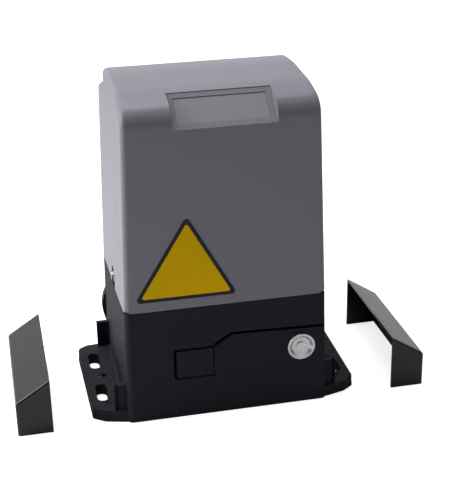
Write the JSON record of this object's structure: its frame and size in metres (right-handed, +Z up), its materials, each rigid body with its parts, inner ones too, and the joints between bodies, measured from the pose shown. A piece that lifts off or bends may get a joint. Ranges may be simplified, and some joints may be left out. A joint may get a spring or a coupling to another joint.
{
  "type": "sliding gate motor",
  "caption": "Floor-standing sliding gate motor: grey hood on a black flanged base with lockable release lever, rear rack pinion and detached foot-bolt covers.",
  "frame": {"origin": "centre of the body's footprint on the foundation", "axes": "+X along the gate's travel, towards the lock side; +Y towards the rack and pinion; +Z up"},
  "size_m": [0.434, 0.2204, 0.3429],
  "materials": {
    "black_casting": "black powder coat, fine grain",
    "cast_aluminium": "as cast",
    "gasket_fibre": "matte",
    "zinc_steel": "zinc plated",
    "black_steel": "black oxide",
    "bearing_steel": "ground",
    "black_rubber": "matte",
    "lamination_steel": "stacked laminations, varnished",
    "copper_winding": "enamelled copper",
    "white_plastic": "moulded",
    "black_plastic": "fine moulded grain, satin",
    "board_green": "solder mask",
    "terminal_green": "moulded",
    "brass_plug": "machined",
    "machined_steel": "machined, lightly oiled",
    "bronze_wheel": "machined bronze",
    "lock_chrome": "satin chrome",
    "grey_hood": "moulded, satin gloss",
    "label_grey": "printed film, blank",
    "label_dark": "printed film border",
    "label_yellow": "printed film, blank field",
    "spring_steel": "spring wire"
  },
  "bodies": {
    "base": {"base_housing": "black_casting", "gearbox_lid": "cast_aluminium", "lid_gasket": "gasket_fibre", "lid_screws": "zinc_steel", "output_bearing_front": "bearing_steel", "output_bearing_rear": "bearing_steel", "output_seal": "black_rubber", "worm_bearing_lower": "bearing_steel", "worm_bearing_upper": "bearing_steel", "stator_core": "lamination_steel", "stator_windings": "copper_winding", "motor_top_bell": "cast_aluminium", "motor_tie_bolts": "zinc_steel", "motor_top_bearing": "bearing_steel", "capacitor": "white_plastic", "capacitor_clamp": "zinc_steel", "board_tray": "black_plastic", "circuit_board": "board_green", "transformer": "lamination_steel", "terminal_blocks": "terminal_green", "relays": "black_plastic", "fuse_holder": "black_plastic", "limit_switch_body": "black_plastic", "limit_microswitches": "black_plastic", "cover_screws": "zinc_steel", "cover_screw_washers": "zinc_steel", "cover_seal": "black_rubber", "levelling_screws": "black_steel", "cable_grommet": "black_rubber", "oil_plug": "brass_plug", "earth_screw": "brass_plug"},
    "rotor": {"worm_shaft": "machined_steel", "rotor_core": "lamination_steel", "cooling_fan": "white_plastic"},
    "output": {"output_shaft": "machined_steel", "worm_wheel": "bronze_wheel", "drive_pinion": "machined_steel", "pinion_key": "machined_steel", "pinion_washer": "zinc_steel", "pinion_bolt": "zinc_steel"},
    "clutch": {"clutch_collar": "machined_steel"},
    "fork": {"shift_fork": "machined_steel"},
    "lever": {"release_lever": "black_plastic", "lever_hinge_pin": "machined_steel", "release_cam": "machined_steel", "lock_housing": "lock_chrome", "lock_ring_nut": "zinc_steel"},
    "lock": {"lock_barrel": "lock_chrome", "lock_cam": "zinc_steel", "lock_cam_screw": "zinc_steel"},
    "shutter": {"key_shutter": "lock_chrome"},
    "hood": {"top_cover": "grey_hood", "label_plate": "label_grey", "triangle_border": "label_dark", "triangle_field": "label_yellow"},
    "left_cover": {"left_bolt_cover": "black_plastic"},
    "right_cover": {"right_bolt_cover": "black_plastic"},
    "limit_arm": {"limit_lever": "black_plastic", "limit_spring_arm": "spring_steel"}
  },
  "joints": [
    {"name": "motor_spin", "type": "hinge", "parent": "base", "child": "rotor", "pos_m": [-0.014, 0.012, 0.15], "axis": [0, 0, 1], "continuous": true},
    {"name": "output_spin", "type": "hinge", "parent": "base", "child": "output", "pos_m": [-0.062, 0.012, 0.05], "axis": [0, 1, 0], "continuous": true},
    {"name": "collar_slide", "type": "slide", "parent": "output", "child": "clutch", "axis": [0, 1, 0], "range_m": [0, 0.008]},
    {"name": "fork_slide", "type": "slide", "parent": "base", "child": "fork", "axis": [0, 1, 0], "range_m": [0, 0.008]},
    {"name": "lever_swing", "type": "hinge", "parent": "base", "child": "lever", "pos_m": [-0.036, -0.08, 0.06], "axis": [0, 0, -1], "range_deg": [0, 90]},
    {"name": "lock_turn", "type": "hinge", "parent": "lever", "child": "lock", "pos_m": [0.078, -0.08, 0.0654], "axis": [0, 1, 0], "range_deg": [0, 90]},
    {"name": "shutter_swing", "type": "hinge", "parent": "lock", "child": "shutter", "pos_m": [0.078, -0.0893, 0.0693], "axis": [0, 1, 0], "range_deg": [0, 70], "stiffness_Nm_per_rad": 0.0005},
    {"name": "hood_lift", "type": "slide", "parent": "base", "child": "hood", "axis": [0, 0, 1], "range_m": [0, 0.22]},
    {"name": "left_cover_slide", "type": "slide", "parent": "base", "child": "left_cover", "axis": [0.9792, 0.0323, 0.2002], "range_m": [0, 0.07741]},
    {"name": "right_cover_slide", "type": "slide", "parent": "base", "child": "right_cover", "axis": [-0.9775, 0.0336, 0.2081], "range_m": [0, 0.07447]},
    {"name": "limit_swing", "type": "hinge", "parent": "base", "child": "limit_arm", "pos_m": [-0.063, 0.076, 0.136], "axis": [0, 0, 1], "range_deg": [-22, 22], "stiffness_Nm_per_rad": 0.15}
  ],
  "couplings": [
    {"joint": "output_spin", "follows": "motor_spin", "ratio": 0.027778},
    {"joint": "collar_slide", "follows": "lever_swing", "m_per_rad": 0.005093},
    {"joint": "fork_slide", "follows": "lever_swing", "m_per_rad": 0.005093}
  ]
}
